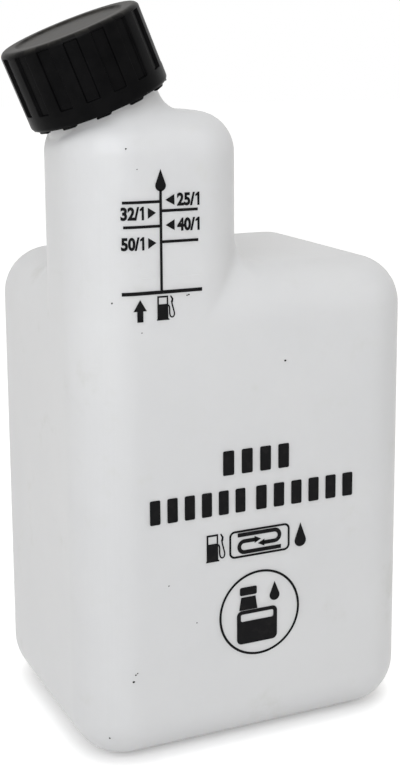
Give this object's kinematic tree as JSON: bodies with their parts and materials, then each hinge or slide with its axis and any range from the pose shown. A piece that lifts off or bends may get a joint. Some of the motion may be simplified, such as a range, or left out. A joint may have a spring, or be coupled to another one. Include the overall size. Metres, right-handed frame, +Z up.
{
  "type": "fuel mixing bottle",
  "caption": "White translucent blow-moulded bottle with a square body, a measuring tower flush with one corner, a tilted screw neck and a black ribbed screw cap.",
  "frame": {"origin": "under the middle of the whole footprint, leaning cap included, on the plane that the base's foot band stands on", "axes": "+Z up; +X to the right along the printed front face; +Y away from the front face"},
  "size_m": [0.112, 0.0826, 0.2056],
  "materials": {
    "bottle": "natural translucent blow-moulded polyethylene, satin",
    "cap": "black moulded polypropylene, satin gloss",
    "liner": "off-white foam wad"
  },
  "bodies": {
    "bottle": {"bottle": "bottle"},
    "liner": {"liner": "liner"},
    "cap": {"cap": "cap"}
  },
  "joints": [
    {"name": "cap_lift", "type": "slide", "parent": "bottle", "child": "liner", "axis": [-0.3827, 0, 0.9239], "range_m": [0, 0.0185]},
    {"name": "cap_turn", "type": "hinge", "parent": "liner", "child": "cap", "pos_m": [-0.02989, -0.02089, 0.1772], "axis": [-0.3827, 0, 0.9239], "range_deg": [0, 1481]}
  ],
  "couplings": [
    {"joint": "cap_turn", "follows": "cap_lift", "rad_per_m": 1396.3}
  ]
}
